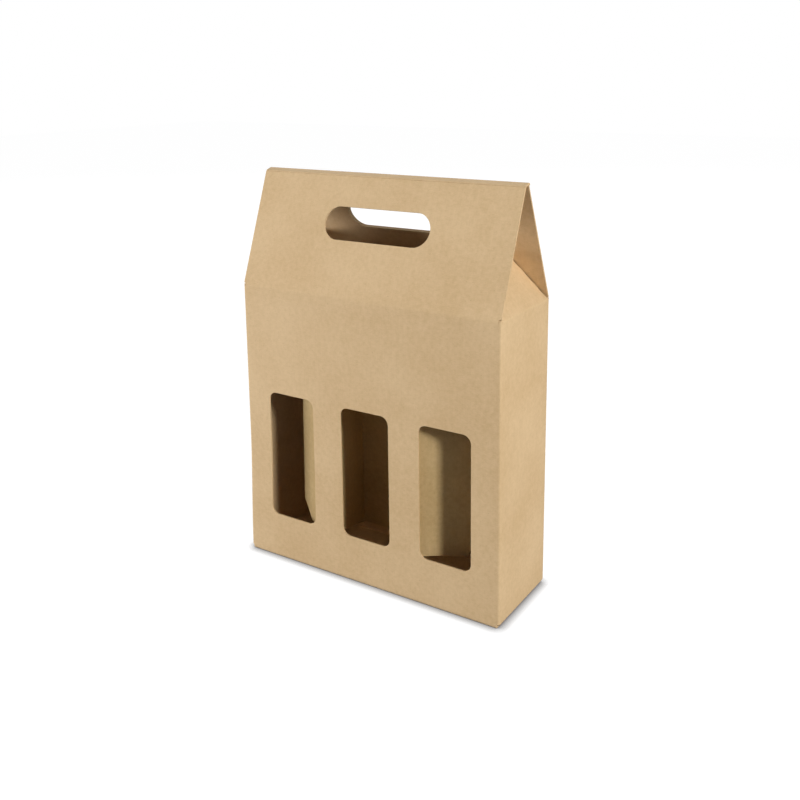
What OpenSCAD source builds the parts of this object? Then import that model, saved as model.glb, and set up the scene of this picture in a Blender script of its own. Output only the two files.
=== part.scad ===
// Gable-topped carton for three bottles, folded from one die-cut kraft sheet.
// The front has three windows, both gable slopes have a hand slot, and a
// closing flap hooks over the back slope. A second folded sheet inside keeps
// the bottles apart.
// X runs along the front, Y from front to back, Z up. The origin is the
// middle of the underside.

/* [Carton] */
// Outside width along the front
box_w = 270; // [250:1:300]
// Outside depth from front to back
box_d = 94; // [88:1:104]
// Height of the shoulder, where the slopes begin
shoulder_h = 275; // [250:1:300]
// Thickness of the corrugated board
board = 1.5; // [1.2:0.1:2]
// Outside radius of a folded corner
fold_r = 2.2; // [2.1:0.1:3]
// Outside radius of the soft bend at the shoulders
shoulder_r = 9; // [4:1:14]

/* [Gable] */
// Rise of the front slope above the shoulder
gable_h = 103.5; // [90:0.5:120]
// How far the front slope leans back over its rise
front_lean = 40; // [36:0.5:42]
// How far the back slope leans forward over the same rise
back_lean = 47; // [42:0.5:48]
// Tilt of the closing strip above level
strip_tilt = 18; // [8:1:24]

/* [Closing flap] */
// Depth of the part that hooks over the back slope
tuck_h = 76; // [68:1:90]
// How far the hooked part stands in from each end of the slope
tuck_inset = 3; // [2:0.5:6]
// How much narrower the hooked part is at its lower edge, on each side
tuck_taper = 7; // [0:1:14]
// Radius of its lower corners
tuck_r = 14; // [6:1:20]
// How far the strip stops short of each end of the slope
strip_inset = 0.5; // [0.3:0.1:1.5]

/* [Hand slots] */
// Length of a hand slot
slot_w = 110; // [95:1:125]
// Height of a hand slot, rounded at both ends
slot_h = 30.5; // [24:0.5:36]
// Lower edge of the front slot above the shoulder, along the slope
front_slot_up = 52; // [42:0.5:56]
// Lower edge of the back slot above the shoulder, along the slope
back_slot_up = 59; // [50:0.5:63]

/* [Windows] */
// Width of a window
window_w = 51.5; // [40:0.5:58]
// Height of a window
window_h = 127.5; // [90:0.5:150]
// Lower edge of the windows above the floor
window_up = 46; // [30:0.5:60]
// Distance from one window's middle to the next
window_pitch = 82.5; // [76:0.5:86]
// Radius of the window corners
window_r = 8; // [4:0.5:14]

/* [Dust flaps] */
// Length of the flap at each end, from its fold to its free edge
dust_h = 58; // [40:1:70]
// How far a dust flap leans inwards from upright
dust_lean = 38; // [20:1:60]
// Space between a dust flap and the slopes beside it
dust_gap = 0.9; // [0.5:0.1:2]

/* [Base flaps] */
// Length of the two end flaps that lie inside the base
end_flap = 56; // [40:1:62]
// How much narrower an end flap is at its free edge, on each side
end_flap_taper = 12; // [4:1:20]
// How far the long base flaps reach past the middle where they interlock
base_step = 13; // [6:1:20]
// Length of the slanted edges of the interlock, along the width
base_slant = 26; // [10:1:40]
// Space between the edges of the two long base flaps
base_gap = 0.8; // [0.4:0.1:2]

/* [Glue seam] */
// Width of the glue tab inside the back left corner
seam_tab_w = 24; // [15:1:35]
// How far the tab stops short of the folds above and below it
seam_tab_end = 9; // [5:1:20]

/* [Divider] */
// Thickness of the divider's board
divider_board = 1.5; // [1:0.1:2]
// Height of the divider's top edge above the floor
divider_h = 238; // [190:1:250]
// How far each wall leans out towards its end of the box at the back
wall_lean = 24; // [0:1:26]
// Width of the left tab behind the front panel
left_tab_w = 29; // [16:1:32]
// Width of the right tab behind the front panel
right_tab_w = 14; // [8:1:15]
// Height of the walls' lower edge at the front
wall_front_up = 40; // [25:1:45]
// Height of the walls' lower edge at the back fold
wall_back_up = 10; // [6:1:20]
// Height of the cut corner of each tab
tab_cut_h = 45; // [20:1:60]
// Width of the cut corner of each tab
tab_cut_w = 11; // [4:1:14]
// Space between the divider and the panels that it stands against
divider_fit = 0.2; // [0.1:0.05:0.4]

/* [Fits] */
// Space between neighbouring layers of board
layer_gap = 0.3; // [0.3:0.05:0.6]

/* [Hidden] */
$fn = 64;

kraft = [0.80, 0.68, 0.50];
kraft_flap = [0.84, 0.73, 0.56];
kraft_inner = [0.72, 0.58, 0.40];

arc_steps = 6;
leg = 6;
through = 20;

half_w = box_w / 2;
half_d = box_d / 2;

// Angles of the slopes above level, and directions in the Y-Z plane
front_angle = atan2(gable_h, front_lean);
back_angle = atan2(gable_h, back_lean);
front_up = [cos(front_angle), sin(front_angle)];
back_up = [-cos(back_angle), sin(back_angle)];
strip_back = [cos(strip_tilt), sin(strip_tilt)];
strip_out = [-sin(strip_tilt), cos(strip_tilt)];
back_out = [sin(back_angle), cos(back_angle)];

front_shoulder = [-half_d, shoulder_h];
back_shoulder = [half_d, shoulder_h];

// The crease on which the closing flap turns, in the middle of the board
front_len = norm([front_lean, gable_h]);
front_top = front_shoulder + front_up * front_len;
crease = front_top + left_of(-front_up) * board / 2;

// The back slope ends one layer gap under the strip
back_len = (-board / 2 - layer_gap - (back_shoulder - crease) * strip_out) / (back_up * strip_out);
back_top = back_shoulder + back_up * back_len;

// Outer surfaces of the strip and of the hooked part, and where they meet
strip_line = crease + strip_out * board / 2;
tuck_line = back_shoulder + back_out * (board + layer_gap);
ridge = meet(strip_line, strip_back, tuck_line, back_up);
tuck_end = ridge - back_up * tuck_h;

// The end panels are folded one layer higher than the long base flaps
end_crease = board + layer_gap;

window_middle = window_up + window_h / 2;
base_inset = fold_r;
base_reach = half_d + base_step;

divider_front = -half_d + board + divider_fit;
divider_back = half_d - board - divider_fit - divider_board;
divider_low = board + divider_fit;
left_wall_x = -window_pitch / 2;
right_wall_x = window_pitch / 2;

function left_of(v) = [-v[1], v[0]];
function turned(v, a) = [v[0] * cos(a) - v[1] * sin(a), v[0] * sin(a) + v[1] * cos(a)];
function unit(v) = v / norm(v);
function turn(a, b) = atan2(a[0] * b[1] - a[1] * b[0], a * b);
function cross2(a, b) = a[0] * b[1] - a[1] * b[0];
function meet(p, a, q, b) = p + a * cross2(q - p, b) / cross2(a, b);

// Points and directions along a line of straight runs joined by arcs
function bend(p, a, b, r) =
    let (t = turn(a, b), s = sign(t), c = p - a * r * tan(abs(t) / 2) + left_of(a) * s * r)
    [for (k = [0:arc_steps]) let (d = turned(a, t * k / arc_steps)) [c - left_of(d) * s * r, d]];

function run(pts, r, th) =
    let (n = len(pts), d = [for (i = [0:n - 2]) unit(pts[i + 1] - pts[i])])
    concat(
        [[pts[0], d[0]]],
        [for (i = [1:1:n - 2])
            let (s = turn(d[i - 1], d[i]) > 0 ? 0 : th)
            each bend(pts[i], d[i - 1], d[i], r[i - 1] - s)],
        [[pts[n - 1], d[n - 2]]]
    );

// Closed outline with every corner rounded
function rounded(pts, r) =
    let (n = len(pts))
    [for (i = [0:n - 1])
        let (a = unit(pts[i] - pts[(i + n - 1) % n]), b = unit(pts[(i + 1) % n] - pts[i]))
        each [for (q = bend(pts[i], a, b, r[i])) q[0]]];

// A folded board seen on edge: the line is one face, and the board lies on its left
module folded_board(pts, r, th) {
    track = run(pts, r, th);
    last = len(track) - 1;
    polygon(concat(
        [for (q = track) q[0]],
        [for (i = [0:last]) track[last - i][0] + left_of(track[last - i][1]) * th]
    ));
}

module along_width(w) {
    rotate([90, 0, 90]) linear_extrude(w, center = true) children();
}

module along_depth(d) {
    rotate([90, 0, 0]) linear_extrude(d, center = true) children();
}

module slot_outline(w, h) {
    square([w - h, h], center = true);
    for (side = [-1, 1]) translate([side * (w - h) / 2, 0]) circle(d = h);
}

module window_outline() {
    square([window_w - 2 * window_r, window_h], center = true);
    square([window_w, window_h - 2 * window_r], center = true);
    for (sx = [-1, 1], sy = [-1, 1])
        translate([sx * (window_w / 2 - window_r), sy * (window_h / 2 - window_r)])
            circle(r = window_r);
}

module front_slope_frame() {
    translate([0, -half_d, shoulder_h]) rotate([front_angle, 0, 0]) children();
}

module back_slope_frame() {
    translate([0, half_d, shoulder_h]) rotate([180 - back_angle, 0, 0]) children();
}

module hand_slot(up) {
    translate([0, up + slot_h / 2, 0])
        linear_extrude(through, center = true) slot_outline(slot_w, slot_h);
}

module window_cuts() {
    for (i = [-1:1])
        translate([i * window_pitch, -half_d, window_middle])
            along_depth(through) window_outline();
}

// Front panel with its base flap and its slope
module front_sheet() {
    along_width(box_w - 2 * fold_r)
        folded_board(
            [front_shoulder + front_up * leg, front_shoulder, [-half_d, 0], [-half_d + base_reach, 0]],
            [shoulder_r, fold_r], board
        );
    difference() {
        along_width(box_w)
            difference() {
                folded_board([front_top, front_shoulder + front_up * fold_r], [], board);
                translate(crease) circle(r = board / 2 + layer_gap);
            }
        front_slope_frame() hand_slot(front_slot_up);
    }
}

// Back panel with its base flap and its slope
module back_sheet() {
    along_width(box_w - 2 * fold_r)
        folded_board(
            [[half_d - base_reach, 0], [half_d, 0], back_shoulder, back_shoulder + back_up * leg],
            [fold_r, shoulder_r], board
        );
    difference() {
        along_width(box_w) folded_board([back_shoulder + back_up * fold_r, back_top], [], board);
        back_slope_frame() hand_slot(back_slot_up);
    }
}

// Room for a dust flap between the two slopes, seen from the end
module gable_room() {
    clear = board + dust_gap;
    inner_front = front_shoulder + left_of(-front_up) * clear;
    inner_back = back_shoulder - back_out * clear;
    polygon([
        [-half_d + fold_r, shoulder_h - leg],
        [half_d - fold_r, shoulder_h - leg],
        inner_back,
        inner_back + back_up * front_len,
        inner_front + front_up * front_len,
        inner_front
    ]);
}

// End panel with its dust flap above and its base flap below
module end_sheet() {
    dust_tip = [half_w, shoulder_h] + dust_h * [-sin(dust_lean), cos(dust_lean)];
    profile = [
        [half_w - end_flap, end_crease], [half_w, end_crease], [half_w, shoulder_h], dust_tip
    ];
    difference() {
        along_depth(box_d - 2 * fold_r) folded_board(profile, [fold_r, fold_r], board);
        translate([0, 0, shoulder_h + half_d])
            cube([box_w, box_d, box_d], center = true);
        end_flap_sides();
    }
    intersection() {
        along_depth(box_d) folded_board(
            [[half_w, shoulder_h - leg / 2], [half_w, shoulder_h], dust_tip], [fold_r], board
        );
        along_width(box_w) gable_room();
    }
}

// Slanted sides of an end panel's base flap
module end_flap_sides() {
    for (side = [-1, 1])
        linear_extrude(2 * leg, center = true)
            polygon([
                [half_w - fold_r, side * half_d],
                [half_w - end_flap - 1, side * half_d],
                [half_w - end_flap - 1, side * (half_d - fold_r - end_flap_taper)],
                [half_w - fold_r, side * (half_d - fold_r)]
            ]);
}

// Folded upright corner between two panels
module corner_post() {
    translate([0, 0, end_crease + fold_r])
        linear_extrude(shoulder_h - end_crease - 2 * fold_r)
            folded_board(
                [[half_w - leg, -half_d], [half_w, -half_d], [half_w, -half_d + leg]],
                [fold_r], board
            );
}

// Square glued corner, with the tab that closes the sheet into a tube
module seam_corner() {
    low = end_crease + fold_r;
    tall = shoulder_h - low - fold_r;
    translate([-half_w, half_d - board, low]) cube([leg, board, tall]);
    translate([-half_w, half_d - leg, low]) cube([board, leg, tall]);
    translate([-half_w + board, half_d - board, shoulder_h / 2])
        along_depth(2 * board)
            polygon([
                [0, -tall / 2],
                [seam_tab_w, -tall / 2 + seam_tab_end],
                [seam_tab_w, tall / 2 - seam_tab_end],
                [0, tall / 2]
            ]);
}

// Plan of the edge where the long base flaps interlock, kept on one side
module interlock(side) {
    edge = base_gap / 2;
    linear_extrude(2 * leg, center = true)
        polygon([
            [-side * box_w, side * (base_step + edge)],
            [-side * base_slant / 2, side * (base_step + edge)],
            [side * base_slant / 2, side * (edge - base_step)],
            [side * box_w, side * (edge - base_step)],
            [side * box_w, side * box_d],
            [-side * box_w, side * box_d]
        ]);
}

module carton() color(kraft) {
    difference() {
        union() {
            difference() {
                front_sheet();
                interlock(1);
            }
            difference() {
                back_sheet();
                interlock(-1);
            }
            end_sheet();
            mirror([1, 0, 0]) end_sheet();
            corner_post();
            mirror([1, 0, 0]) corner_post();
            mirror([0, 1, 0]) corner_post();
            seam_corner();
        }
        window_cuts();
    }
}

// Outline of the hooked part, from the ridge down
module tuck_outline() {
    top = half_w - tuck_inset;
    low = top - tuck_taper;
    polygon(rounded(
        [[-top, 0], [top, 0], [low, tuck_h], [-low, tuck_h]],
        [0, 0, tuck_r, tuck_r]
    ));
}

module closing_flap() color(kraft_flap) {
    strip_end = ridge - back_up * fold_r;
    along_width(box_w - 2 * strip_inset) {
        folded_board([strip_end, ridge, strip_line], [board], board);
        translate(crease) circle(d = board);
    }
    difference() {
        intersection() {
            along_width(box_w)
                folded_board([tuck_end, ridge - back_up * board], [], board);
            translate([0, ridge[0], ridge[1]])
                rotate([-back_angle, 0, 0])
                    linear_extrude(through, center = true) tuck_outline();
        }
        back_slope_frame() hand_slot(back_slot_up);
    }
}

// The divider seen from above: tab, wall, back strip, wall, tab
module divider_plan() {
    folded_board(
        [
            [left_wall_x - left_tab_w, divider_front],
            [left_wall_x, divider_front],
            [left_wall_x - wall_lean, divider_back],
            [right_wall_x + wall_lean, divider_back],
            [right_wall_x, divider_front],
            [right_wall_x + right_tab_w, divider_front]
        ],
        [fold_r, fold_r, fold_r, fold_r], divider_board
    );
}

// Cut corner at the lower end of a tab
module tab_corner() {
    along_depth(through)
        polygon([
            [0, wall_front_up + tab_cut_h],
            [tab_cut_w, wall_front_up],
            [tab_cut_w, 0],
            [-through, 0],
            [-through, wall_front_up + tab_cut_h]
        ]);
}

module divider() color(kraft_inner) {
    difference() {
        linear_extrude(divider_h) divider_plan();
        along_width(2 * box_w)
            polygon([
                [-box_d, -1],
                [-box_d, wall_front_up],
                [divider_front + divider_board, wall_front_up],
                [divider_back - fold_r, wall_back_up],
                [divider_back - fold_r, divider_low],
                [box_d, divider_low],
                [box_d, -1]
            ]);
        translate([left_wall_x - left_tab_w, divider_front, 0]) tab_corner();
        translate([right_wall_x + right_tab_w, divider_front, 0])
            mirror([1, 0, 0]) tab_corner();
    }
}

carton();
closing_flap();
divider();
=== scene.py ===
import math

import bmesh
import bpy
from mathutils import Matrix, Vector


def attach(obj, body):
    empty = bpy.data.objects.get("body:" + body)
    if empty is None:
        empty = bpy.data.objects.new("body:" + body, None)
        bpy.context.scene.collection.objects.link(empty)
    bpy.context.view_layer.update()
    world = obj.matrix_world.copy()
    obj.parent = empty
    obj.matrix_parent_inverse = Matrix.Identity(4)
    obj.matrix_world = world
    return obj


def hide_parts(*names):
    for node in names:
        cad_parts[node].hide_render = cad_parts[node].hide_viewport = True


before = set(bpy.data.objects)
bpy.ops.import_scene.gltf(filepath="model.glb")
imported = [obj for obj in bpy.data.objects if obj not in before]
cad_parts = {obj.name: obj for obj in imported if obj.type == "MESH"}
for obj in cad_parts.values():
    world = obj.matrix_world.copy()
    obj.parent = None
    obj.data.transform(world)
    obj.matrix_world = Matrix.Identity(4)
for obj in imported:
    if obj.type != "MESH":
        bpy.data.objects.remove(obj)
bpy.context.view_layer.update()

scene = bpy.context.scene
mm = 0.001
near = 0.1 * mm  # how close a face or point has to lie to count as the wanted one


# Camera

cameraSettings = {
    "place": (0.4547, -0.6942, 0.4711),
    "azimuth": 32.66,  # degrees from the front towards the right end
    "elevation": 15.04,  # degrees above level
    "roll": -0.54,
    "lens": 42.25,
    "shiftY": -0.10,
    "nearest": 0.01,  # metres
    "farthest": 50,
}


def addCamera(settings):
    azimuth = math.radians(settings["azimuth"])
    elevation = math.radians(settings["elevation"])
    roll = math.radians(settings["roll"])
    ahead = Vector((
        -math.sin(azimuth) * math.cos(elevation),
        math.cos(azimuth) * math.cos(elevation),
        -math.sin(elevation),
    ))
    level = Vector((math.cos(azimuth), math.sin(azimuth), 0))
    above = level.cross(ahead)
    right = level * math.cos(roll) + above * math.sin(roll)
    up = above * math.cos(roll) - level * math.sin(roll)
    turned = Matrix((right, up, -ahead)).transposed().to_4x4()
    data = bpy.data.cameras.new("camera")
    data.lens = settings["lens"]
    data.shift_y = settings["shiftY"]
    data.clip_start = settings["nearest"]
    data.clip_end = settings["farthest"]
    eye = bpy.data.objects.new("camera", data)
    eye.matrix_world = Matrix.Translation(settings["place"]) @ turned
    scene.collection.objects.link(eye)
    scene.camera = eye


addCamera(cameraSettings)
print("camera placed")


# Sizes that the carton, the closing flap and the divider share, in metres

boxSizes = {
    "width": 270 * mm,
    "depth": 94 * mm,
    "shoulder": 275 * mm,
    "board": 1.5 * mm,
    "gableRise": 103.5 * mm,
    "frontLean": 40 * mm,
    "backLean": 47 * mm,
    "stripTilt": 18,  # degrees
    "layerGap": 0.3 * mm,
    "slotLength": 110 * mm,
    "slotHeight": 30.5 * mm,
    "frontSlotUp": 52 * mm,  # along the slope, from the shoulder
    "backSlotUp": 59 * mm,
    "slopeSide": 0.4 * mm,  # how far the slopes stop short of the full width
    "cutThrough": 12 * mm,  # thickness of the block that cuts a slot or a window
}

board = boxSizes["board"]
halfWidth = boxSizes["width"] / 2
halfDepth = boxSizes["depth"] / 2
shoulder = boxSizes["shoulder"]

frontShoulder = Vector((0, -halfDepth, shoulder))
backShoulder = Vector((0, halfDepth, shoulder))
frontUp = Vector((0, boxSizes["frontLean"], boxSizes["gableRise"])).normalized()
backUp = Vector((0, -boxSizes["backLean"], boxSizes["gableRise"])).normalized()
frontIn = Vector((0, frontUp.z, -frontUp.y))
backOut = Vector((0, backUp.z, -backUp.y))
frontTop = frontShoulder + frontUp * math.hypot(boxSizes["frontLean"], boxSizes["gableRise"])
crease = frontTop + frontIn * board / 2

stripTilt = math.radians(boxSizes["stripTilt"])
stripBack = Vector((0, math.cos(stripTilt), math.sin(stripTilt)))
stripOut = Vector((0, -math.sin(stripTilt), math.cos(stripTilt)))


def meetingPoint(here, along, there, other):  # of two lines in the Y-Z plane
    gap = there - here
    share = (gap.y * other.z - gap.z * other.y) / (along.y * other.z - along.z * other.y)
    return here + along * share


ridge = meetingPoint(
    crease + stripOut * board / 2, stripBack,
    backShoulder + backOut * (board + boxSizes["layerGap"]), backUp,
)
backTop = meetingPoint(
    crease - stripOut * (board / 2 + boxSizes["layerGap"]), stripBack, backShoulder, backUp,
)


# Folding board by extruding and spinning its cut end

straight = 0.001  # radians; a smaller turn is no fold
foldSteps = 6
bisectReach = 0.00001
squareEnd = 0.9  # least share of a face's normal along an axis


def startBoard(name, middle, width, height, turn):
    bpy.ops.object.select_all(action="DESELECT")
    bpy.ops.mesh.primitive_plane_add(size=1, location=middle, rotation=turn)
    sheet = bpy.context.object
    sheet.name = name
    sheet.data.name = name
    sheet.scale = (width, height, 1)
    bpy.ops.object.transform_apply(location=True, rotation=True, scale=True)
    bpy.ops.object.mode_set(mode="EDIT")
    bpy.ops.mesh.select_mode(type="FACE")
    bpy.ops.mesh.select_all(action="SELECT")
    return sheet


def pickFaces(sheet, wanted):
    mesh = bmesh.from_edit_mesh(sheet.data)
    bpy.ops.mesh.select_mode(type="FACE")
    bpy.ops.mesh.select_all(action="DESELECT")
    for face in mesh.faces:
        if wanted(face.calc_center_median(), face.normal):
            face.select_set(True)
    bmesh.update_edit_mesh(sheet.data)


def pickEdges(sheet, wanted):
    mesh = bmesh.from_edit_mesh(sheet.data)
    bpy.ops.mesh.select_mode(type="EDGE")
    bpy.ops.mesh.select_all(action="DESELECT")
    for edge in mesh.edges:
        if wanted(edge.verts[0].co, edge.verts[1].co):
            edge.select_set(True)
    bmesh.update_edit_mesh(sheet.data)


def pickPoints(sheet, wanted):
    mesh = bmesh.from_edit_mesh(sheet.data)
    bpy.ops.mesh.select_mode(type="VERT")
    bpy.ops.mesh.select_all(action="DESELECT")
    for point in mesh.verts:
        if wanted(point.co):
            point.select_set(True)
    bmesh.update_edit_mesh(sheet.data)


def run(move):
    bpy.ops.mesh.extrude_region_move(TRANSFORM_OT_translate={"value": move})


def foldAlong(points, radii, axis):
    # The points are the corners of the board's outer line, and the board lies on the inner side.
    axis = Vector(axis)
    points = [Vector(point) for point in points]
    place = points[0]
    for corner, after, radius in zip(points[1:-1], points[2:], radii):
        heading = (corner - place).normalized()
        leaving = (after - corner).normalized()
        angle = math.atan2(heading.cross(leaving).dot(axis), heading.dot(leaving))
        reach = abs(radius * math.tan(angle / 2))
        run(heading * ((corner - place).length - reach))
        place = corner
        if abs(angle) > straight:
            middle = corner - heading * reach + axis.cross(heading) * math.copysign(radius, angle)
            bpy.ops.mesh.spin(steps=foldSteps, angle=-angle, center=middle, axis=axis)
            place = corner + leaving * reach
    run(points[-1] - place)


def spanEnd(sheet, along, low, high):
    mesh = bmesh.from_edit_mesh(sheet.data)
    spots = [point.co[along] for point in mesh.verts if point.select]
    stretch = [1, 1, 1]
    stretch[along] = (high - low) / (max(spots) - min(spots))
    middle = [0, 0, 0]
    middle[along] = min(spots)
    bpy.ops.transform.resize(value=stretch, center_override=middle)
    move = [0, 0, 0]
    move[along] = low - min(spots)
    bpy.ops.transform.translate(value=move)


def closeBoard(sheet):
    bpy.ops.mesh.select_mode(type="VERT")
    bpy.ops.mesh.select_all(action="SELECT")
    bpy.ops.mesh.remove_doubles(threshold=near / 10)
    bpy.ops.mesh.normals_make_consistent(inside=False)
    bpy.ops.object.mode_set(mode="OBJECT")
    print(sheet.name, "folded:", len(sheet.data.polygons), "faces")


def addCutter(middle, size, radius, turn, steps):
    bpy.ops.object.select_all(action="DESELECT")
    bpy.ops.mesh.primitive_cube_add(size=1, location=(0, 0, 0))
    cutter = bpy.context.object
    cutter.scale = size
    bpy.ops.object.transform_apply(location=True, rotation=True, scale=True)
    if radius > 0:
        bpy.ops.object.mode_set(mode="EDIT")
        pickEdges(cutter, lambda one, two: abs(one.z - two.z) > size[2] / 2)
        bpy.ops.mesh.bevel(offset=radius, segments=steps, affect="EDGES")
        bpy.ops.object.mode_set(mode="OBJECT")
    cutter.rotation_euler = turn
    cutter.location = middle
    return cutter


def cutAway(sheet, cutter):
    bpy.ops.object.select_all(action="DESELECT")
    bpy.context.view_layer.objects.active = sheet
    sheet.select_set(True)
    cut = sheet.modifiers.new("cut", "BOOLEAN")
    cut.object = cutter
    cut.operation = "DIFFERENCE"
    cut.solver = "EXACT"
    bpy.ops.object.modifier_apply(modifier=cut.name)
    bpy.data.objects.remove(cutter)


def slotCutter(foot, up, lift):
    middle = foot + up * (lift + boxSizes["slotHeight"] / 2)
    size = (boxSizes["slotLength"], boxSizes["slotHeight"], boxSizes["cutThrough"])
    turn = (math.atan2(up.z, up.y), 0, 0)
    almostHalf = boxSizes["slotHeight"] / 2 * 0.9995  # keeps the round ends from meeting
    return addCutter(middle, size, almostHalf, turn, 14)


innerMiddle = Vector((0, 0, shoulder / 2))


def markCutEdges(sheet, endsFrom):
    # Cut edges get the second material, and the faces turned inwards the third, the inner paper,
    # which is a browner liner darkened as painted shade.
    # The map holds how far along the panel, and how high or, on a cut edge, how deep.
    mesh = bmesh.new()
    mesh.from_mesh(sheet.data)
    flat = mesh.loops.layers.uv.new("sheetMap")
    for face in mesh.faces:
        across = [edge for edge in face.edges if abs(edge.calc_length() - board) < near / 5]
        middle = face.calc_center_median()
        if face.normal.dot(middle - innerMiddle) < 0:
            face.material_index = 2
        onEnd = endsFrom is not None and abs(middle.x) > endsFrom(middle)
        for loop in face.loops:
            spot = loop.vert.co
            loop[flat].uv = (spot.y if onEnd else spot.x, spot.z)
        if across:
            face.material_index = 1
            heading = (across[0].verts[1].co - across[0].verts[0].co).normalized()
            foot = min(loop.vert.co.dot(heading) for loop in face.loops)
            for loop in face.loops:
                loop[flat].uv.y = (loop.vert.co.dot(heading) - foot) / board
    mesh.to_mesh(sheet.data)
    mesh.free()


def addLines(sheet, along, places):
    bpy.ops.object.select_all(action="DESELECT")
    bpy.context.view_layer.objects.active = sheet
    sheet.select_set(True)
    bpy.ops.object.mode_set(mode="EDIT")
    normal = [0, 0, 0]
    normal[along] = 1
    for place in places:
        bpy.ops.mesh.select_all(action="SELECT")
        bpy.ops.mesh.bisect(
            plane_co=[place * n for n in normal], plane_no=normal, threshold=bisectReach,
        )
    bpy.ops.object.mode_set(mode="OBJECT")


def spreadFoot(sheet, share, low):
    bpy.ops.object.mode_set(mode="EDIT")
    pickPoints(sheet, lambda at: at.z < low)
    bpy.ops.transform.resize(
        value=(share, 1, 1), center_override=(0, 0, 0), use_proportional_edit=True,
        proportional_edit_falloff="LINEAR", proportional_size=shoulder - low,
    )
    bpy.ops.object.mode_set(mode="OBJECT")


def pushPoint(sheet, spot, size, move):
    # A soft push on the board around the point nearest to a spot.
    spot = Vector(spot)
    bpy.ops.object.mode_set(mode="EDIT")
    mesh = bmesh.from_edit_mesh(sheet.data)
    nearest = min(mesh.verts, key=lambda point: (point.co - spot).length).co.copy()
    pickPoints(sheet, lambda place: (place - nearest).length < near / 10)
    bpy.ops.transform.translate(
        value=move, use_proportional_edit=True, proportional_edit_falloff="SMOOTH",
        proportional_size=size,
    )
    bpy.ops.object.mode_set(mode="OBJECT")


def finishSheet(sheet, outside, inside):
    sheet.data.materials.clear()
    for finish in (outside, cutEdge, inside):
        sheet.data.materials.append(finish)
    bpy.ops.object.select_all(action="DESELECT")
    bpy.context.view_layer.objects.active = sheet
    sheet.select_set(True)
    bpy.ops.object.shade_smooth_by_angle(angle=math.radians(35))


# Paper and board finishes

def fromPicture(red, green, blue):
    def linear(value):
        value /= 255
        return value / 12.92 if value <= 0.04045 else ((value + 0.055) / 1.055) ** 2.4
    return (linear(red), linear(green), linear(blue), 1)


class Nodes:
    def __init__(self, owner):  # a material or a world
        self.owner = owner
        owner.use_nodes = True
        self.tree = owner.node_tree
        self.tree.nodes.clear()

    def add(self, kind, inputs, **settings):
        made = self.tree.nodes.new(kind)
        for key, value in settings.items():
            setattr(made, key, value)
        for key, value in inputs.items():
            if isinstance(value, bpy.types.NodeSocket):
                self.tree.links.new(value, made.inputs[key])
            else:
                made.inputs[key].default_value = value
        return made

    def sum(self, operation, one, two=0.0):
        return self.add("ShaderNodeMath", {0: one, 1: two}, operation=operation).outputs[0]

    def between(self, value, low, high, start=0.0, end=1.0):
        inputs = {"Value": value, "From Min": low, "From Max": high, "To Min": start, "To Max": end}
        return self.add("ShaderNodeMapRange", inputs).outputs[0]

    def blend(self, share, one, two, kind="MIX"):
        inputs = {0: share, 6: one, 7: two}
        return self.add("ShaderNodeMix", inputs, data_type="RGBA", blend_type=kind).outputs[2]

    def noise(self, place, scale, detail, roughness):
        inputs = {"Vector": place, "Scale": scale, "Detail": detail, "Roughness": roughness}
        return self.add("ShaderNodeTexNoise", inputs).outputs[0]

    def stretched(self, place, turn, size):
        inputs = {"Vector": place, "Rotation": [math.radians(a) for a in turn], "Scale": size}
        return self.add("ShaderNodeMapping", inputs).outputs[0]

    def finish(self, colour, roughness, height, depth, shine):
        relief = self.add("ShaderNodeBump", {"Strength": 1.0, "Distance": depth, "Height": height})
        inputs = {"Base Color": colour, "Roughness": roughness, "Normal": relief.outputs[0]}
        shader = self.add("ShaderNodeBsdfPrincipled", inputs)
        shader.inputs["Specular IOR Level"].default_value = shine
        self.add("ShaderNodeOutputMaterial", {"Surface": shader.outputs[0]})
        return self.owner


kraftLooks = {
    "outer": {
        "light": (219, 189, 146), "dark": (203, 171, 126), "fleck": (150, 112, 70),
        "fibreShare": 0.10, "fluteDepth": 0.035, "reliefDepth": 0.10 * mm, "shine": 0.40,
    },
    # The inner paper is a browner liner, made darker as painted shade for the carton's inside and
    # the divider.
    "inner": {
        "light": (203, 176, 128), "dark": (184, 156, 108), "fleck": (135, 102, 62),
        "fibreShare": 0.12, "fluteDepth": 0.05, "reliefDepth": 0.10 * mm, "shine": 0.10,
    },
}
paperGrain = {
    "cloudScale": 16,  # broad clouds from the pulp
    "mottleScale": 260,
    "cloudShare": 0.55,
    "strandStretch": (260, 2300, 2300),
    "strandTurns": ((20, 35, 10), (-50, 15, 60), (75, -30, -40)),  # degrees
    "strandFrom": 0.50,
    "strandTo": 0.76,
    "strandLift": 1.16,  # how much lighter than the paper
    "fleckTurn": (40, 10, 25),
    "fleckStretch": (900, 1900, 1500),
    "fleckFrom": 0.69,
    "fleckTo": 0.76,
    "fleckShare": 0.55,
    "ribShade": 0.35,
    "smoothest": 0.68,
    "roughest": 0.82,
}
flutePitch = 2.4 * mm


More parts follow.
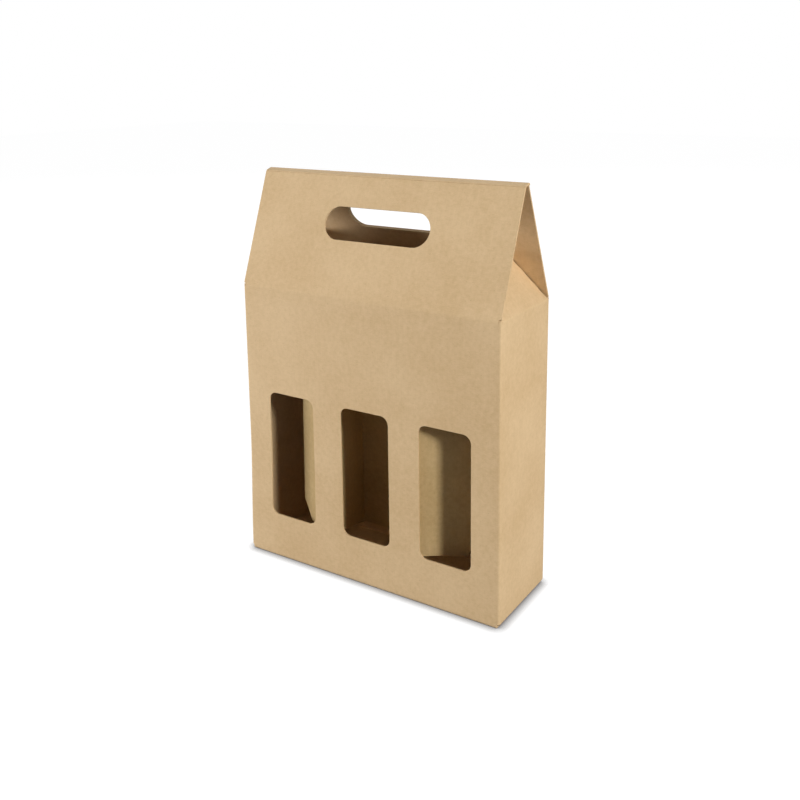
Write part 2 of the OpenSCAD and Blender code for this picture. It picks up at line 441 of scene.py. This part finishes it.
def kraftPaper(name, look):
    nodes = Nodes(bpy.data.materials.new(name))
    place = nodes.add("ShaderNodeTexCoord", {}).outputs["Object"]
    sheetMap = nodes.add("ShaderNodeUVMap", {}, uv_map="sheetMap").outputs[0]
    along = nodes.add("ShaderNodeSeparateXYZ", {0: sheetMap}).outputs[0]

    # Clouds and mottle, then fibres that lie three ways
    grain = paperGrain
    cloud = nodes.noise(place, grain["cloudScale"], 4, 0.55)
    mottle = nodes.noise(place, grain["mottleScale"], 3, 0.6)
    fibres = None
    for turn in grain["strandTurns"]:
        strand = nodes.noise(nodes.stretched(place, turn, grain["strandStretch"]), 1, 1, 0.5)
        fibres = strand if fibres is None else nodes.sum("MAXIMUM", fibres, strand)
    lines = nodes.between(fibres, grain["strandFrom"], grain["strandTo"])
    clouded = nodes.sum("MULTIPLY", cloud, grain["cloudShare"])
    mottled = nodes.sum("MULTIPLY", mottle, 1 - grain["cloudShare"])
    tone = nodes.between(nodes.sum("ADD", clouded, mottled), 0.36, 0.64)
    light, dark = fromPicture(*look["light"]), fromPicture(*look["dark"])
    colour = nodes.blend(tone, dark, light)
    lighter = tuple(min(1.0, value * grain["strandLift"]) for value in light[:3]) + (1,)
    share = nodes.sum("MULTIPLY", lines, look["fibreShare"] * 3)
    colour = nodes.blend(share, colour, lighter)

    # Scattered dark flecks of bark
    stretched = nodes.stretched(place, grain["fleckTurn"], grain["fleckStretch"])
    flecks = nodes.between(nodes.noise(stretched, 1, 2, 0.5), grain["fleckFrom"], grain["fleckTo"])
    share = nodes.sum("MULTIPLY", flecks, grain["fleckShare"])
    colour = nodes.blend(share, colour, fromPicture(*look["fleck"]))

    # The flutes under the paper show as faint upright ribs, raised in the relief and painted as
    # light and shade in the colour
    flutes = nodes.sum("SINE", nodes.sum("MULTIPLY", along, 2 * math.pi / flutePitch))
    rib = nodes.sum("MULTIPLY", flutes, look["fluteDepth"] / 2)
    shade = nodes.sum("ADD", 1.0, nodes.sum("MULTIPLY", rib, grain["ribShade"]))
    grey = nodes.add("ShaderNodeCombineColor", {0: shade, 1: shade, 2: shade}).outputs[0]
    colour = nodes.blend(1.0, colour, grey, "MULTIPLY")

    raised = nodes.sum("MULTIPLY", lines, 0.25)
    height = nodes.sum("ADD", raised, nodes.sum("MULTIPLY", mottle, 0.35))
    height = nodes.sum("ADD", height, rib)
    roughness = nodes.between(mottle, 0.3, 0.7, grain["smoothest"], grain["roughest"])
    return nodes.finish(colour, roughness, height, look["reliefDepth"], look["shine"])


# The hollows between the flutes on a cut edge get a dark colour: painted shade in the recesses.
cutEdgeLook = {
    "liner": (214, 186, 148), "flute": (196, 166, 126), "hollow": (132, 102, 70),
    "linerShare": 0.17, "waveReach": 0.30, "fluteShare": 0.11, "raggedScale": 1400,
    "roughness": 0.9, "reliefDepth": 0.15 * mm, "shine": 0.2,
}


def corrugatedEdge(name, look):
    nodes = Nodes(bpy.data.materials.new(name))
    sheetMap = nodes.add("ShaderNodeUVMap", {}, uv_map="sheetMap").outputs[0]
    apart = nodes.add("ShaderNodeSeparateXYZ", {0: sheetMap})
    along, depth = apart.outputs[0], apart.outputs[1]
    wave = nodes.sum("SINE", nodes.sum("MULTIPLY", along, 2 * math.pi / flutePitch))
    middle = nodes.sum("ADD", 0.5, nodes.sum("MULTIPLY", wave, look["waveReach"]))
    away = nodes.sum("ABSOLUTE", nodes.sum("SUBTRACT", depth, middle))
    flute = nodes.between(away, look["fluteShare"], look["fluteShare"] * 1.5, 1.0, 0.0)
    edge = nodes.sum("ABSOLUTE", nodes.sum("SUBTRACT", depth, 0.5))
    share = look["linerShare"]
    liner = nodes.between(edge, 0.5 - share * 1.15, 0.5 - share)
    place = nodes.add("ShaderNodeTexCoord", {}).outputs["Object"]
    ragged = nodes.noise(place, look["raggedScale"], 2, 0.6)
    # Painted shade in the flute hollows, with the flute colour over it
    colour = nodes.blend(flute, fromPicture(*look["hollow"]), fromPicture(*look["flute"]))
    colour = nodes.blend(liner, colour, fromPicture(*look["liner"]))
    worn = nodes.between(ragged, 0.35, 0.7, 0.0, 0.25)
    colour = nodes.blend(worn, colour, fromPicture(*look["flute"]))
    height = nodes.sum("MAXIMUM", flute, liner)
    height = nodes.sum("ADD", height, nodes.sum("MULTIPLY", ragged, 0.3))
    return nodes.finish(colour, look["roughness"], height, look["reliefDepth"], look["shine"])


outerPaper = kraftPaper("kraftOuter", kraftLooks["outer"])
# Inner paper: a browner liner, darkened as painted shade for the inside
innerLinerAndShade = kraftPaper("kraftInnerAndShade", kraftLooks["inner"])
cutEdge = corrugatedEdge("cutBoardEdge", cutEdgeLook)
print("finishes made")


# Carton

cartonSizes = {
    "cornerRadius": 2.4 * mm,
    "shoulderRadius": 9 * mm,
    "baseRadius": 2.2 * mm,
    "dustRadius": 2.2 * mm,
    "tubeLow": 4.0 * mm,
    "tubeHigh": 273.0 * mm,
    "tabWidth": 24 * mm,
    "tabShort": 9 * mm,
    "backEdge": 0.3 * mm,  # from the left end's face to the back panel's cut edge
    "baseStep": 13 * mm,
    "baseGap": 0.8 * mm,
    "endFlap": 56 * mm,
    "endFlapTaper": 12 * mm,
    "dustLength": 58 * mm,
    "dustLean": 38,  # degrees from upright
    "dustGap": 0.9 * mm,
    "dustStart": 4 * mm,  # where the dust flap's sides begin
    "dustRagged": (0.0, 0.5, -0.3, 0.6, 0.1, -0.4, 0.3, -0.2, 0.5, 0.0),  # its side edges, in mm
    "tabFit": 0.2 * mm,
    "endFlapFit": 0.001 * mm,
    "slopeBend": 1.9 * mm,  # along the slope, where it is still bending
    "slopeWiden": 0.6 * mm,  # length over which it grows to its full width
    "slopeShort": 0.75 * mm,  # how far the front slope ends below the crease
    "creaseInset": 0.35 * mm,
    "creaseDepth": -0.3 * mm,
    "cornerRise": 3.2 * mm,  # how far a corner's top reaches up beside the slope
    "baseSpread": 1.024,  # the tube widens a little towards its foot
    "baseHeight": 4 * mm,
    "cornerPush": (-3.2 * mm, 0, 0),  # of the front left corner at its foot
    "cornerPushReach": 130 * mm,
    "windowWidth": 51.5 * mm,
    "windowHeight": 127.5 * mm,
    "windowFoot": 46 * mm,
    "windowPitch": 82.5 * mm,
    "windowRadius": 8 * mm,
}


def makeCarton(sizes):
    radius = sizes["cornerRadius"]
    low, high = sizes["tubeLow"], sizes["tubeHigh"]
    step, gap = sizes["baseStep"], sizes["baseGap"] / 2
    tabBack = halfDepth - board - sizes["tabFit"]
    tabEnd = -halfWidth + board + sizes["tabWidth"]
    flat = halfWidth - radius

    # The panels, from the glue tab round to the back panel's free edge
    sheet = startBoard(
        "cartonBoard", (tabEnd, tabBack - board / 2, (low + high) / 2),
        high - low, board, (0, math.radians(-90), 0),
    )
    foldAlong(
        [
            (tabEnd, tabBack, 0), (-halfWidth, tabBack, 0), (-halfWidth, -halfDepth, 0),
            (-step, -halfDepth, 0), (step, -halfDepth, 0), (halfWidth, -halfDepth, 0),
            (halfWidth, halfDepth, 0), (step, halfDepth, 0), (-step, halfDepth, 0),
            (-flat, halfDepth, 0), (-halfWidth + sizes["backEdge"], halfDepth, 0),
        ],
        [radius, radius, 0, 0, radius, radius, 0, 0, 0], (0, 0, 1),
    )
    pickFaces(sheet, lambda at, normal: abs(at.x - tabEnd) < near and abs(normal.x) > squareEnd)
    spanEnd(sheet, 2, low + sizes["tabShort"], high - sizes["tabShort"])

    # Long base flaps, each with one half cut back so that the two interlock
    for side in (-1, 1):
        pickFaces(sheet, lambda at, normal: abs(at.z - low) < near
                  and side * at.y > halfDepth - board and abs(at.x) < flat)
        foldAlong(
            [
                (0, side * halfDepth, low), (0, side * halfDepth, 0),
                (0, -side * (step - gap), 0),
            ],
            [sizes["baseRadius"]], (-side, 0, 0),
        )
        pickPoints(sheet, lambda at: at.z < board + near and side * at.x < near - step
                   and abs(at.y + side * (step - gap)) < near)
        bpy.ops.transform.translate(value=(0, side * 2 * step, 0))

    # End base flaps and dust flaps
    lean = math.radians(sizes["dustLean"])
    beside = halfDepth - radius - board / 2
    for side in (-1, 1):
        pickFaces(sheet, lambda at, normal: abs(at.z - low) < near
                  and side * at.x > halfWidth - board and abs(at.y) < beside)
        floor = board + boxSizes["layerGap"]
        foldAlong(
            [
                (side * halfWidth, 0, low), (side * halfWidth, 0, floor),
                (side * (halfWidth - sizes["endFlap"]), 0, floor),
            ],
            [sizes["baseRadius"] - sizes["endFlapFit"]], (0, side, 0),
        )
        reach = halfDepth - radius - sizes["endFlapTaper"]
        spanEnd(sheet, 1, -reach, reach)

        pickFaces(sheet, lambda at, normal: abs(at.z - high) < near
                  and side * at.x > halfWidth - board and abs(at.y) < beside)
        away = Vector((-side * math.sin(lean), 0, math.cos(lean)))
        fold = Vector((side * halfWidth, 0, shoulder))
        ragged = sizes["dustRagged"]
        reached = sizes["dustStart"]
        foldAlong(
            [(side * halfWidth, 0, high), fold, fold + away * reached],
            [sizes["dustRadius"]], (0, -side, 0),
        )
        stride = (sizes["dustLength"] - reached) / (len(ragged) - 1)
        for index, wiggle in enumerate(ragged):
            if index > 0:
                run(away * stride)
                reached += stride
            rise = reached * away.z
            clear = board + sizes["dustGap"] + wiggle * mm
            front = -halfDepth + rise * frontUp.y / frontUp.z + clear / frontUp.z
            back = halfDepth + rise * backUp.y / backUp.z - clear / backUp.z
            spanEnd(sheet, 1, front, back)

    # Slopes, a little wider than the panels' flat part
    slopes = (
        (-1, frontShoulder, frontUp, frontTop - frontUp * sizes["slopeShort"]),
        (1, backShoulder, backUp, backTop),
    )
    for side, foot, up, top in slopes:
        pickFaces(sheet, lambda at, normal: abs(at.z - high) < near
                  and side * at.y > halfDepth - board and abs(at.x) < flat)
        start = foot + up * sizes["slopeBend"]
        foldAlong([(0, foot.y, high), foot, start], [sizes["shoulderRadius"]], (side, 0, 0))
        run(up * sizes["slopeWiden"])
        wide = halfWidth - boxSizes["slopeSide"]
        spanEnd(sheet, 0, -wide, wide)
        run(top - start - up * sizes["slopeWiden"])
        if side < 0:  # a shallow hollow beside the crease
            bpy.ops.mesh.inset(thickness=sizes["creaseInset"], depth=sizes["creaseDepth"])

    # The folded corners reach up between the slopes and the dust flaps
    pickPoints(sheet, lambda at: abs(at.z - high) < near and abs(at.x) > flat + near
               and abs(at.y) > halfDepth - radius + near)
    bpy.ops.transform.translate(value=(0, 0, sizes["cornerRise"]))
    closeBoard(sheet)

    size = (sizes["windowWidth"], sizes["windowHeight"], boxSizes["cutThrough"])
    windowMiddle = sizes["windowFoot"] + sizes["windowHeight"] / 2
    for place in (-1, 0, 1):
        middle = (place * sizes["windowPitch"], -halfDepth, windowMiddle)
        cutAway(sheet, addCutter(middle, size, sizes["windowRadius"], (math.radians(90), 0, 0), 8))
    cutAway(sheet, slotCutter(frontShoulder, frontUp, boxSizes["frontSlotUp"]))
    cutAway(sheet, slotCutter(backShoulder, backUp, boxSizes["backSlotUp"]))

    def endStarts(at):  # from here outwards a face belongs to an end and not to the front or back
        if at.z > shoulder:
            return halfWidth - (at.z - shoulder) * math.tan(lean) - 2 * board
        return halfWidth - board - near
    markCutEdges(sheet, endStarts)
    addLines(sheet, 0, [place * mm for place in range(-126, 127, 18)])
    addLines(sheet, 2, [place * mm for place in range(15, 375, 18)])
    addLines(sheet, 1, [place * mm for place in range(-36, 37, 12)])
    spreadFoot(sheet, sizes["baseSpread"], sizes["baseHeight"])
    pushPoint(sheet, (-halfWidth, -halfDepth, 0), sizes["cornerPushReach"], sizes["cornerPush"])
    finishSheet(sheet, outerPaper, innerLinerAndShade)
    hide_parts("carton")
    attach(sheet, "carton")
    print("carton made:", len(sheet.data.polygons), "faces")


# Closing flap

flapSizes = {
    "length": 76 * mm,
    "inset": 3 * mm,
    "taper": 7 * mm,
    "cornerRadius": 14 * mm,
    "side": 0.5 * mm,
    "foldRadius": 1.7 * mm,
    "bend": 2.4 * mm,  # along the back part, where it is still bending
    "narrowing": 2 * mm,  # length over which the inset is reached
}


def makeClosingFlap(sizes):
    wide = halfWidth - sizes["side"]
    start = crease + stripOut * board / 2
    sheet = startBoard(
        "closingFlapBoard", crease, wide * 2, board, (stripTilt + math.radians(90), 0, 0),
    )
    bend = ridge - backUp * sizes["bend"]
    foldAlong([start, ridge, bend], [sizes["foldRadius"]], (-1, 0, 0))
    top = wide - sizes["inset"] + sizes["side"]
    run(-backUp * sizes["narrowing"])
    spanEnd(sheet, 0, -top, top)
    end = ridge - backUp * sizes["length"]
    run(end - bend + backUp * sizes["narrowing"])
    spanEnd(sheet, 0, -top + sizes["taper"], top - sizes["taper"])
    pickEdges(sheet, lambda one, two: (one - two).length < board + near
              and abs((one - end).dot(backUp)) < near and abs((two - end).dot(backUp)) < near)
    bpy.ops.mesh.bevel(offset=sizes["cornerRadius"], segments=10, affect="EDGES")

    # The round edge that turns on the crease
    pickFaces(sheet, lambda at, normal: (at - crease).length < near)
    run(-stripBack * board / 2)
    pickEdges(sheet, lambda one, two: abs(one.x - two.x) > wide
              and abs((one - crease).dot(stripBack) + board / 2) < near / 2)
    bpy.ops.mesh.bevel(offset=board / 2 * 0.98, segments=5, affect="EDGES")
    closeBoard(sheet)
    cutAway(sheet, slotCutter(backShoulder, backUp, boxSizes["backSlotUp"]))
    markCutEdges(sheet, None)
    addLines(sheet, 0, [place * mm for place in range(-126, 127, 18)])
    finishSheet(sheet, outerPaper, innerLinerAndShade)
    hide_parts("closing_flap")
    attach(sheet, "closing_flap")
    print("closing flap made:", len(sheet.data.polygons), "faces")


# Divider

dividerSizes = {
    "height": 238 * mm,
    "leftWall": -41.25 * mm,
    "rightWall": 41.25 * mm,
    "lean": 24 * mm,  # of both walls, outwards at the back
    "leftTab": 47 * mm,
    "rightTab": 70 * mm,
    "leftTabTaper": 6 * mm,  # how much narrower the left tab is at its top
    "leftTabOpen": 20,  # degrees that a tab springs back from the front panel
    "rightTabOpen": 32,
    "tabFoot": 42 * mm,
    "tabFootStart": 6 * mm,  # how far from the fold the level foot starts
    "tabCutHeight": 22 * mm,
    "tabCutWidth": 13 * mm,
    "frontUp": 40 * mm,  # lower edge of the walls
    "backUp": 10 * mm,
    "low": 1.7 * mm,  # lower edge of the strip along the back
    "fit": 0.2 * mm,
    "foldRadius": 2.2 * mm,
    "cutter": (20 * mm, 8 * mm, 60 * mm),  # block that cuts a tab's corner
}


def trimSheet(sheet, place, normal):
    bpy.ops.mesh.select_mode(type="VERT")
    bpy.ops.mesh.select_all(action="SELECT")
    bpy.ops.mesh.bisect(
        plane_co=place, plane_no=normal, use_fill=True, clear_inner=True, threshold=bisectReach,
    )


def makeDivider(sizes):
    front = -halfDepth + board + sizes["fit"]
    back = halfDepth - board * 2 - sizes["fit"]
    left, right, lean = sizes["leftWall"], sizes["rightWall"], sizes["lean"]
    foot = sizes["backUp"]
    tabs = []
    for side, wall, length, opening in (
        (-1, left, sizes["leftTab"], sizes["leftTabOpen"]),
        (1, right, sizes["rightTab"], sizes["rightTabOpen"]),
    ):
        turn = math.radians(opening)
        along = Vector((side * math.cos(turn), math.sin(turn), 0))
        tabs.append((side, Vector((wall, front, 0)), along, length, side * turn))
    ends = [fold + along * length for side, fold, along, length, turn in tabs]

    firstTurn = tabs[0][4]
    inward = Vector((-math.sin(firstTurn), math.cos(firstTurn), 0))
    start = ends[0] + inward * board / 2
    start.z = (foot + sizes["height"]) / 2
    sheet = startBoard(
        "dividerBoard", start, sizes["height"] - foot, board, (0, math.radians(-90), firstTurn),
    )
    outer, inner = sizes["foldRadius"], sizes["foldRadius"] - board
    foldAlong(
        [
            ends[0], (left, front, 0), (left - lean, back, 0),
            (right + lean, back, 0), (right, front, 0), ends[1],
        ],
        [outer, inner, inner, outer], (0, 0, 1),
    )

    # The slanted lower edge of the walls, and the strip that reaches the floor
    fold = back - sizes["foldRadius"]
    slant = Vector((0, fold - front - board, foot - sizes["frontUp"]))
    trimSheet(sheet, (0, fold, foot), Vector((0, -slant.z, slant.y)))
    pickFaces(sheet, lambda at, normal: normal.z < -squareEnd and abs(at.z - foot) < near / 2
              and abs(at.y - back - board / 2) < near / 2)
    run((0, 0, sizes["low"] - foot))
    pickPoints(sheet, lambda at: at.z > sizes["height"] - near
               and (at - ends[0]).to_2d().length < board + near)
    bpy.ops.transform.translate(value=tabs[0][2] * -sizes["leftTabTaper"])
    closeBoard(sheet)

    # The level foot and the cut corner of each tab
    wide, high, tall = sizes["tabCutWidth"], sizes["tabCutHeight"], sizes["tabFoot"]
    across, thick = sizes["cutter"][:2]
    for side, fold, along, length, turn in tabs:
        middle = fold + along * (length / 2 + sizes["tabFootStart"]) + Vector((0, 0, tall / 2))
        cutAway(sheet, addCutter(middle, (length, thick, tall), 0, (0, 0, turn), 0))
        away = (along * high - Vector((0, 0, wide))).normalized()
        middle = fold + along * (length - wide / 2) + Vector((0, 0, tall + high / 2))
        tilt = (0, side * math.atan2(wide, high), turn)
        cutAway(sheet, addCutter(middle + away * across / 2, sizes["cutter"], 0, tilt, 0))
    markCutEdges(sheet, None)
    addLines(sheet, 2, [place * mm for place in range(45, 230, 18)])
    # The divider has the inner paper, darkened as painted shade, on both sides
    finishSheet(sheet, innerLinerAndShade, innerLinerAndShade)
    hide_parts("divider")
    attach(sheet, "carton")
    print("divider made:", len(sheet.data.polygons), "faces")


makeCarton(cartonSizes)
makeClosingFlap(flapSizes)
makeDivider(dividerSizes)


# Floor, backdrop and light

studio = {
    "floorSize": 12,
    "floorColour": (0.25, 0.25, 0.25, 1),  # as the object sees it
    "floorPaint": (0.12, 0.12, 0.125, 1),  # as the camera sees it, beside its glow
    "floorGlow": 0.97,
    # The contact settings give the painted contact shadow around the object's foot
    "contactReach": 9 * mm,
    "contactCurve": 1.6,
    "contactShade": (60, 50, 44),
    "aim": (0, 0, 0.18),
    "skyLow": 0.05,
    "skyHigh": 0.24,
    "lamps": {  # place and size in metres, power in watts
        "rightLamp": ((2.592, -1.154, 1.40), 0.50, 68),
        "leftLamp": ((-1.589, -0.845, 0.15), 0.80, 37),
        "endLamp": ((1.48, 0.13, 0.41), 0.80, 3.0),
        "topLamp": ((0.0, 0.60, 2.60), 0.50, 6.5),
        "backLamp": ((-1.70, 2.40, 1.60), 1.20, 24),
    },
}


white = (1, 1, 1, 1)


def seenDirectly(nodes):
    path = nodes.add("ShaderNodeLightPath", {})
    seen = nodes.sum("MAXIMUM", path.outputs["Is Camera Ray"], path.outputs["Is Glossy Ray"])
    return nodes.sum("MAXIMUM", seen, path.outputs["Is Transmission Ray"])


def addFloor():
    bpy.ops.object.select_all(action="DESELECT")
    bpy.ops.mesh.primitive_plane_add(size=studio["floorSize"], location=(0, 0, 0))
    floor = bpy.context.object
    floor.name = "floor"
    nodes = Nodes(bpy.data.materials.new("whiteFloor"))
    dull = nodes.add("ShaderNodeBsdfDiffuse", {"Color": studio["floorColour"]})
    pale = nodes.add("ShaderNodeBsdfDiffuse", {"Color": studio["floorPaint"]})
    # Painted contact shadow: for the camera, the floor's glow darkens towards contactShade where
    # ambient occlusion finds the object close by
    contact = nodes.add(
        "ShaderNodeAmbientOcclusion", {"Distance": studio["contactReach"]}, samples=8,
    )
    exposed = nodes.sum("POWER", contact.outputs["AO"], studio["contactCurve"])
    # shine is the floor's white glow colour with the painted contact shadow in it
    shine = nodes.blend(exposed, fromPicture(*studio["contactShade"]), white)
    glow = nodes.add("ShaderNodeEmission", {"Color": shine, "Strength": studio["floorGlow"]})
    bright = nodes.add("ShaderNodeAddShader", {0: pale.outputs[0], 1: glow.outputs[0]})
    mixed = {0: seenDirectly(nodes), 1: dull.outputs[0], 2: bright.outputs[0]}
    both = nodes.add("ShaderNodeMixShader", mixed)
    nodes.add("ShaderNodeOutputMaterial", {"Surface": both.outputs[0]})
    floor.data.materials.append(nodes.owner)


def addWorld():
    scene.world = bpy.data.worlds.new("studio")
    nodes = Nodes(scene.world)
    way = nodes.add("ShaderNodeTexCoord", {}).outputs["Generated"]
    height = nodes.add("ShaderNodeSeparateXYZ", {0: way}).outputs[2]
    strength = nodes.between(height, 0.0, 1.0, studio["skyLow"], studio["skyHigh"])
    light = nodes.add("ShaderNodeBackground", {"Strength": strength, "Color": white})
    bright = nodes.add("ShaderNodeBackground", {"Strength": 1.0, "Color": white})
    mixed = {0: seenDirectly(nodes), 1: light.outputs[0], 2: bright.outputs[0]}
    both = nodes.add("ShaderNodeMixShader", mixed)
    nodes.add("ShaderNodeOutputWorld", {"Surface": both.outputs[0]})


def addLamp(name, place, size, power):
    data = bpy.data.lights.new(name, "AREA")
    data.shape = "DISK"
    data.size = size
    data.energy = power
    lamp = bpy.data.objects.new(name, data)
    aim = Vector(studio["aim"]) - Vector(place)
    lamp.rotation_euler = aim.to_track_quat("-Z", "Y").to_euler()
    lamp.location = place
    lamp.visible_camera = False
    scene.collection.objects.link(lamp)


addFloor()
addWorld()
for name, (place, size, power) in studio["lamps"].items():
    addLamp(name, place, size, power)
scene.view_settings.view_transform = "Standard"
print("studio lit")
